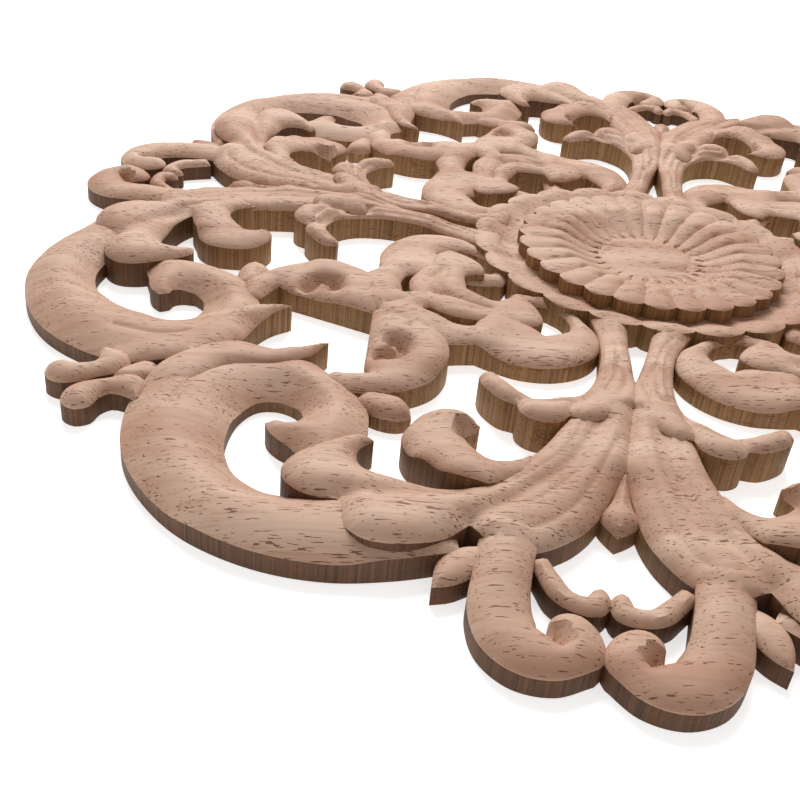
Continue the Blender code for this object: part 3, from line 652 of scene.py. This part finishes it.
rosette = {
    "ringOut": 55.5,    # mm; a little wider across than out
    "ringAcross": 59.5,
    "ringLobes": 22,
    "ringNotch": 3.0,    # depth of the notches between the lobes, seen from above
    "ringPoints": 12,    # outline points to a lobe
    "ringTop": 8.9,
    "ringDip": 2.9,    # how far the ring falls toward the disc
    "ringCrease": 1.0,
    "discRadius": 44.5,
    "discPetals": 27,
    "discNotch": 2.6,
    "discPoints": 10,    # outline points to a petal
    "discTop": 10.9,
    "discCrease": 1.0,
    "creaseSharpness": 1.4,
    "creaseFade": 0.45,    # share of the crease lost at the foot of the bowl
    "petalRadii": (13.0, 40.6, 1.35),    # first, last and step of the rows of points
    "petalPoints": 8,    # points to a petal in such a row
    "bowlRim": 31.0,
    "bowlFoot": 17.0,
    "bowlDepth": 4.6,
    "bowlStep": 1.1,    # the petals end in a small step over the heart
    "footReach": 1.6,    # how far petals' ends stand out from the foot
    "footScallop": 2.2,    # and how far they round back in
    "pitDepth": 0.9,    # gouge nicks between the petals, on the bowl's rim
    "pitWidth": 1.6,
    "pitShare": 0.35,
    "heartCrown": 1.8,
    "heartTwist": 2.4,    # radians that the heart's groove turns on its way out
    "heartStart": 0.6,
    "heartGroove": 1.3,
    "heartGrooveWidth": 0.3,
    "lobeRoundness": 0.6,
    "edgeRoll": 4.0,
    "edgeFall": 1.2,
}


def lobedLine(out, across, lobes, notch, pointsPerLobe):
    i = np.arange(lobes * pointsPerLobe)
    share = (i % pointsPerLobe) / pointsPerLobe
    turn = math.tau * i / (lobes * pointsPerLobe)
    inward = notch * (1 - np.sin(math.pi * share) ** rosette["lobeRoundness"])
    return np.stack(((out - inward) * np.cos(turn), (across - inward) * np.sin(turn)), 1)


def creased(turn, petals, depth):
    return depth * (1 - np.abs(np.sin(petals * turn / 2))) ** rosette["creaseSharpness"]


def edgeFall(distance):
    return rosette["edgeFall"] * (1 - dome(distance, rosette["edgeRoll"]))


def ringHeights(points):
    out, across = points[:, 0] / rosette["ringOut"], points[:, 1] / rosette["ringAcross"]
    inward = (1 - np.hypot(out, across)) * rosette["ringOut"]
    width = rosette["ringOut"] - rosette["edgeRoll"] - rosette["discRadius"]
    dip = rosette["ringDip"] * np.clip((inward - rosette["edgeRoll"]) / width, 0, 1)
    crease = creased(np.arctan2(across, out), rosette["ringLobes"], rosette["ringCrease"])
    return rosette["ringTop"] - edgeFall(inward) - dip - crease + toolMarks(points)


def heartHeights(points):
    # two comma shapes that turn round each other
    reach = np.hypot(points[:, 0], points[:, 1]) / rosette["bowlFoot"]
    turn = np.arctan2(points[:, 1], points[:, 0])
    swirl = np.abs(np.sin(turn + rosette["heartTwist"] * reach - rosette["heartStart"]))
    groove = rosette["heartGroove"] * np.exp(-(swirl / rosette["heartGrooveWidth"]) ** 2)
    return rosette["heartCrown"] * dome(1 - reach, 1.0) - groove * reach


def discHeights(points):
    reach = np.hypot(points[:, 0], points[:, 1])
    turn = np.arctan2(points[:, 1], points[:, 0])
    width = rosette["bowlRim"] - rosette["bowlFoot"]
    slope = np.clip((rosette["bowlRim"] - reach) / width, 0, 1)
    slope = slope ** 1.5 * (2.5 - 1.5 * slope)    # eased at the rim and at the foot
    bulge = np.abs(np.sin(rosette["discPetals"] * turn / 2))
    fromRim = (reach - rosette["bowlRim"]) / rosette["pitWidth"]
    pits = rosette["pitDepth"] * np.exp(-fromRim ** 2) * (bulge < rosette["pitShare"])
    crease = creased(turn, rosette["discPetals"], rosette["discCrease"])
    crease = crease * (1 - rosette["creaseFade"] * slope) + pits
    heights = rosette["discTop"] - edgeFall(rosette["discRadius"] - reach)
    heights -= rosette["bowlDepth"] * slope
    foot = rosette["bowlFoot"] - rosette["footScallop"] * bulge + rosette["footReach"]
    inside = reach < foot
    heights[~inside] -= crease[~inside]
    floorHeight = rosette["discTop"] - rosette["bowlDepth"] - rosette["bowlStep"]
    heights[inside] = floorHeight + heartHeights(points[inside])
    return heights + toolMarks(points)


def roundRows(petals, radii, pointsPerPetal):
    # rows of points on circles, with one row on every crease
    turns = math.tau * np.arange(petals * pointsPerPetal) / (petals * pointsPerPetal)
    return np.vstack([np.stack((r * np.cos(turns), r * np.sin(turns)), 1) for r in radii])


def rosetteMeshes():
    below = relief["below"] + relief["belowStep"] * len(carvings)
    ring = lobedLine(rosette["ringOut"], rosette["ringAcross"], rosette["ringLobes"],
                     rosette["ringNotch"], rosette["ringPoints"])
    disc = lobedLine(rosette["discRadius"], rosette["discRadius"], rosette["discPetals"],
                     rosette["discNotch"], rosette["discPoints"])
    petalRows = roundRows(rosette["discPetals"], np.arange(*rosette["petalRadii"]),
                          rosette["petalPoints"])
    meshes = []
    parts = ((ring, np.zeros((0, 2)), ringHeights), (disc, petalRows, discHeights))
    for loop, cuts, heightOf in parts:
        meshes.append(prismMesh([loop], innerPoints([loop], cuts), heightOf, below))
        below += relief["belowStep"]
    return meshes


# Joining


def placed(mesh, quarterTurns, flipped):
    # a copy turned, and mirrored if asked, to its place round the middle
    copy = mesh.copy()
    if flipped:
        copy.transform(Matrix.Diagonal((-1, 1, 1, 1)))
        copy.flip_normals()
    copy.transform(Matrix.Rotation(math.radians(90 * quarterTurns), 4, "Z"))
    return copy


def boolean(first, others, operation):
    tools = bpy.data.collections.new("tools")
    base = bpy.data.objects.new("base", first)
    bpy.context.scene.collection.objects.link(base)
    bpy.context.scene.collection.children.link(tools)
    for i, mesh in enumerate(others):
        tools.objects.link(bpy.data.objects.new(f"tool{i}", mesh))
    modifier = base.modifiers.new("join", "BOOLEAN")
    modifier.operation = operation
    modifier.solver = "MANIFOLD"
    modifier.operand_type = "COLLECTION"
    modifier.collection = tools
    graph = bpy.context.evaluated_depsgraph_get()
    result = bpy.data.meshes.new_from_object(base.evaluated_get(graph))
    for helper in list(tools.objects) + [base]:
        bpy.data.objects.remove(helper, do_unlink=True)
    bpy.data.collections.remove(tools)
    return result


def benchMesh():
    # the block that planes the back flat at z = 0
    form = bmesh.new()
    bmesh.ops.create_cube(form, size=1.0)
    bmesh.ops.scale(form, vec=relief["bench"], verts=form.verts)
    bmesh.ops.translate(form, vec=(0, 0, -relief["bench"][2] / 2), verts=form.verts)
    mesh = bpy.data.meshes.new("bench")
    form.to_mesh(mesh)
    form.free()
    return mesh


def makeApplique():
    drawn = [carvingMesh(c) for c in carvings if "mirror" not in c]
    shared = [carvingMesh(c) for c in carvings if "mirror" in c]
    print("forms carved:", sum(len(m.polygons) for m in drawn + shared))
    eighth = boolean(drawn[0], drawn[1:], "UNION")
    print("eighth joined:", len(eighth.polygons))
    pieces = [placed(eighth, turns, flipped) for turns in range(4) for flipped in (False, True)]
    pieces += [placed(mesh, turns, False) for mesh in shared for turns in range(4)]
    middle = rosetteMeshes()
    whole = boolean(middle[0], middle[1:] + pieces, "UNION")
    whole = boolean(whole, [benchMesh()], "DIFFERENCE")
    form = bmesh.new()
    form.from_mesh(whole)
    bmesh.ops.remove_doubles(form, verts=form.verts, dist=relief["weld"] * mm)
    bmesh.ops.triangulate(form, faces=form.faces)
    for axis in range(3):
        # kept inside the CAD piece's box
        room = max(abs(corner[axis]) for corner in cadBox)
        reach = max(abs(vert.co[axis]) for vert in form.verts)
        for vert in form.verts:
            vert.co[axis] *= min(1.0, room * relief["boxShare"] / reach)
    form.to_mesh(whole)
    form.free()
    print("whole joined:", len(whole.polygons))
    applique = bpy.data.objects.new("carvedApplique", whole)
    bpy.context.scene.collection.objects.link(applique)
    whole.materials.clear()
    whole.shade_smooth()
    whole.set_sharp_from_angle(angle=math.radians(relief["sharpAngle"]))
    return applique


# Wood


def linear(hexCode):
    # sRGB hex to the linear values that the shader takes
    parts = [int(hexCode[i:i + 2], 16) / 255 for i in (0, 2, 4)]
    return [c / 12.92 if c <= 0.04045 else ((c + 0.055) / 1.055) ** 2.4 for c in parts] + [1.0]


def addNode(tree, kind, settings=None, links=None):
    # a node with its settings, and links given as {input: (node, output)} or plain values
    node = tree.nodes.new(kind)
    for name, value in (settings or {}).items():
        setattr(node, name, value)
    for name, source in (links or {}).items():
        if isinstance(source, tuple) and len(source) == 2 and hasattr(source[0], "outputs"):
            tree.links.new(source[0].outputs[source[1]], node.inputs[name])
        else:
            node.inputs[name].default_value = source
    return node


wood = {
    "pale": "D6B49D",    # sanded top, where the growth is light
    "warm": "BC9078",    # pinker streaks along the grain
    "fine": "A87A60",    # thin growth lines
    "edge": "8E6B45",    # sawn sides inside the scrollwork: darker than the tops by painted shade, and yellower by painted light bounced up from the floor
    "shadedRimSide": "5E3F28",    # sawn sides on the outer rim, darker still: painted shade
    "rimShadeReach": 0.165,    # m from the middle, where the painted shade on the sides is at its darkest
    "pore": "7A4228",    # open pores
    "grainTurn": 14.0,    # degrees that the grain runs off the x axis
    "streakSize": (190, 12, 20),    # mm along the grain, across it and in depth
    "lineSize": (50, 1.1, 2.2),
    "poreLength": 2.2,    # mm
    "poreWidth": 0.25,    # mm; real ones are narrower and would not show
    "poreStrength": 0.85,
    "sawPitch": 0.55,    # mm between saw lines on the sides
    "sawHeight": 40,    # mm; each line stays the same over about this height
    "reliefDepth": 0.15,    # mm
    "roughness": 0.62,
    "shine": 0.35,
}


def perSize(sizes):
    # pattern scale along each axis from real sizes in mm
    return [1000 / size for size in sizes]


def rubberwoodSanded():
    # Rubberwood: pale, pinkish, with short dark pore dashes along the grain. Its tops are
    # sanded soft and its sides keep the upright lines of the scroll saw.
    material = bpy.data.materials.new("rubberwood sanded")
    material.use_nodes = True
    tree = material.node_tree
    shader = tree.nodes["Principled BSDF"]
    place = addNode(tree, "ShaderNodeTexCoord")
    turn = addNode(tree, "ShaderNodeMapping", {"vector_type": "TEXTURE"},
                   {"Vector": (place, "Object"),
                    "Rotation": (0.0, 0.0, math.radians(wood["grainTurn"]))})

    # broad streaks of colour, a strip of the board at a time
    streakPlace = addNode(tree, "ShaderNodeVectorMath", {"operation": "MULTIPLY"},
                          {0: (turn, "Vector"), 1: perSize(wood["streakSize"])})
    streaks = addNode(tree, "ShaderNodeTexNoise", None,
                      {"Vector": (streakPlace, 0), "Scale": 1.0, "Detail": 4.0, "Roughness": 0.6})
    streakMix = addNode(tree, "ShaderNodeMapRange", None,
                        {"Value": (streaks, "Fac"), "From Min": 0.36, "From Max": 0.64})
    topColour = addNode(tree, "ShaderNodeMix", {"data_type": "RGBA"},
                        {"Factor": (streakMix, "Result")})
    topColour.inputs[6].default_value = linear(wood["pale"])
    topColour.inputs[7].default_value = linear(wood["warm"])

    # thin growth lines inside the streaks
    finePlace = addNode(tree, "ShaderNodeVectorMath", {"operation": "MULTIPLY"},
                        {0: (turn, "Vector"), 1: perSize(wood["lineSize"])})
    fineLines = addNode(tree, "ShaderNodeTexNoise", None,
                        {"Vector": (finePlace, 0), "Scale": 1.0, "Detail": 3.0, "Roughness": 0.55})
    fineShare = addNode(tree, "ShaderNodeMapRange", None,
                        {"Value": (fineLines, "Fac"), "From Min": 0.5, "From Max": 0.78,
                         "To Max": 0.5})
    linedColour = addNode(tree, "ShaderNodeMix", {"data_type": "RGBA"},
                          {"Factor": (fineShare, "Result")})
    tree.links.new(topColour.outputs[2], linedColour.inputs[6])
    linedColour.inputs[7].default_value = linear(wood["fine"])

    # sides: upright saw lines, with painted shade that makes them darker than the tops and darker
    # still round the outside
    facing = addNode(tree, "ShaderNodeNewGeometry")
    split = addNode(tree, "ShaderNodeSeparateXYZ", None, {"Vector": (facing, "True Normal")})
    side = addNode(tree, "ShaderNodeMapRange", {"interpolation_type": "SMOOTHSTEP"},
                   {"Value": (split, "Z"), "From Min": 0.30, "From Max": 0.12})
    sawPlace = addNode(tree, "ShaderNodeVectorMath", {"operation": "MULTIPLY"},
                       {0: (place, "Object"),
                        1: perSize((wood["sawPitch"], wood["sawPitch"], wood["sawHeight"]))})
    saw = addNode(tree, "ShaderNodeTexNoise", None,
                  {"Vector": (sawPlace, 0), "Scale": 0.7, "Detail": 2.0, "Roughness": 0.7})
    sawTone = addNode(tree, "ShaderNodeMapRange", None,
                      {"Value": (saw, "Fac"), "From Min": 0.3, "From Max": 0.7,
                       "To Min": 0.55, "To Max": 1.5})
    shadedSideColour = addNode(tree, "ShaderNodeVectorMath", {"operation": "SCALE"},
                         {"Scale": (sawTone, "Result")})
    reach = addNode(tree, "ShaderNodeVectorMath", {"operation": "LENGTH"}, {0: (place, "Object")})
    # painted shade: the sides' colour darkens toward the outer rim
    rim = addNode(tree, "ShaderNodeMapRange", {"interpolation_type": "SMOOTHSTEP"},
                  {"Value": (reach, "Value"), "From Min": 0.8 * wood["rimShadeReach"],
                   "From Max": wood["rimShadeReach"]})
    sideShadeMix = addNode(tree, "ShaderNodeMix", {"data_type": "RGBA"}, {"Factor": (rim, "Result")})
    sideShadeMix.inputs[6].default_value = linear(wood["edge"])
    sideShadeMix.inputs[7].default_value = linear(wood["shadedRimSide"])
    tree.links.new(sideShadeMix.outputs[2], shadedSideColour.inputs[0])
    # painted shade: faces that stand upright take the darker, yellower side colour in place of the
    # top colour
    coat = addNode(tree, "ShaderNodeMix", {"data_type": "RGBA"}, {"Factor": (side, "Result")})
    tree.links.new(linedColour.outputs[2], coat.inputs[6])
    tree.links.new(shadedSideColour.outputs[0], coat.inputs[7])

    # pores: short dashes along the grain, dots where the grain runs into the surface
    porePlace = addNode(tree, "ShaderNodeVectorMath", {"operation": "MULTIPLY"},
                        {0: (turn, "Vector"),
                         1: perSize((wood["poreLength"], wood["poreWidth"], wood["poreWidth"]))})
    pores = addNode(tree, "ShaderNodeTexNoise", None,
                    {"Vector": (porePlace, 0), "Scale": 0.55, "Detail": 1.0, "Roughness": 0.4})
    poreGroups = addNode(tree, "ShaderNodeTexNoise", None,
                         {"Vector": (streakPlace, 0), "Scale": 2.3, "Detail": 2.0})
    poreLimit = addNode(tree, "ShaderNodeMapRange", None,
                        {"Value": (poreGroups, "Fac"), "From Min": 0.35, "From Max": 0.65,
                         "To Min": 0.71, "To Max": 0.60})
    poreOver = addNode(tree, "ShaderNodeMath", {"operation": "SUBTRACT"},
                       {0: (pores, "Fac"), 1: (poreLimit, "Result")})
    poreMask = addNode(tree, "ShaderNodeMapRange", {"interpolation_type": "SMOOTHSTEP"},
                       {"Value": (poreOver, 0), "From Min": 0.0, "From Max": 0.04})
    poreShare = addNode(tree, "ShaderNodeMath", {"operation": "MULTIPLY"},
                        {0: (poreMask, "Result"), 1: wood["poreStrength"]})
    colour = addNode(tree, "ShaderNodeMix", {"data_type": "RGBA"}, {"Factor": (poreShare, 0)})
    tree.links.new(coat.outputs[2], colour.inputs[6])
    colour.inputs[7].default_value = linear(wood["pore"])
    tree.links.new(colour.outputs[2], shader.inputs["Base Color"])

    # relief: pores sink in, saw lines stand on the sides, sanding leaves a faint nap on top
    sawRelief = addNode(tree, "ShaderNodeMath", {"operation": "MULTIPLY"},
                        {0: (saw, "Fac"), 1: (side, "Result")})
    nap = addNode(tree, "ShaderNodeTexNoise", None,
                  {"Vector": (porePlace, 0), "Scale": 2.0, "Detail": 3.0, "Roughness": 0.6})
    height = addNode(tree, "ShaderNodeMath", {"operation": "MULTIPLY_ADD"},
                     {0: (nap, "Fac"), 1: 0.35, 2: (sawRelief, 0)})
    height = addNode(tree, "ShaderNodeMath", {"operation": "SUBTRACT"},
                     {0: (height, 0), 1: (poreMask, "Result")})
    bump = addNode(tree, "ShaderNodeBump", None,
                   {"Height": (height, 0), "Strength": 0.6, "Distance": wood["reliefDepth"] * mm})
    tree.links.new(bump.outputs["Normal"], shader.inputs["Normal"])
    shader.inputs["Roughness"].default_value = wood["roughness"]
    shader.inputs["IOR"].default_value = 1.5
    shader.inputs["Specular IOR Level"].default_value = wood["shine"]
    return material


applique = makeApplique()
applique.data.materials.append(rubberwoodSanded())
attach(applique, "root")
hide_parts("applique")
print("applique dressed")


# Floor and light

stage = {
    "floorColour": "FFFFFF",
    "floorGlow": 0.65,    # a lit table, white even in the gaps
    "floorHalf": 6.0,    # m from the middle to the floor's sides
    "floorGap": 0.2,    # mm below the flat back
    "skyColour": "FFFDFA",
    "skyStrength": 0.33,
    "windowPlace": (-0.4, 1.05, 1.2),    # m; large soft light behind and to the left
    "windowSize": 1.0,
    "windowPower": 31.0,
}


def makeFloor(values):
    form = bmesh.new()
    bmesh.ops.create_grid(form, x_segments=1, y_segments=1, size=values["floorHalf"])
    mesh = bpy.data.meshes.new("floor")
    form.to_mesh(mesh)
    form.free()
    floor = bpy.data.objects.new("floor", mesh)
    floor.location.z = -values["floorGap"] * mm
    material = bpy.data.materials.new("paper white")
    material.use_nodes = True
    shader = material.node_tree.nodes["Principled BSDF"]
    shader.inputs["Base Color"].default_value = linear(values["floorColour"])
    shader.inputs["Roughness"].default_value = 0.9
    shader.inputs["Emission Color"].default_value = (1.0, 1.0, 1.0, 1.0)
    shader.inputs["Emission Strength"].default_value = values["floorGlow"]
    mesh.materials.append(material)
    bpy.context.scene.collection.objects.link(floor)


def makeLight(values):
    world = bpy.data.worlds.new("sky")
    world.use_nodes = True
    sky = world.node_tree.nodes["Background"]
    sky.inputs["Color"].default_value = linear(values["skyColour"])
    sky.inputs["Strength"].default_value = values["skyStrength"]
    bpy.context.scene.world = world
    bpy.context.scene.view_settings.view_transform = "Standard"    # keeps the paper white
    data = bpy.data.lights.new("window", "AREA")
    data.shape = "SQUARE"
    data.size = values["windowSize"]
    data.energy = values["windowPower"]
    window = bpy.data.objects.new("window", data)
    window.location = values["windowPlace"]
    window.rotation_euler = (-window.location).to_track_quat("-Z", "Y").to_euler()
    bpy.context.scene.collection.objects.link(window)


makeFloor(stage)
makeLight(stage)
print("stage set")
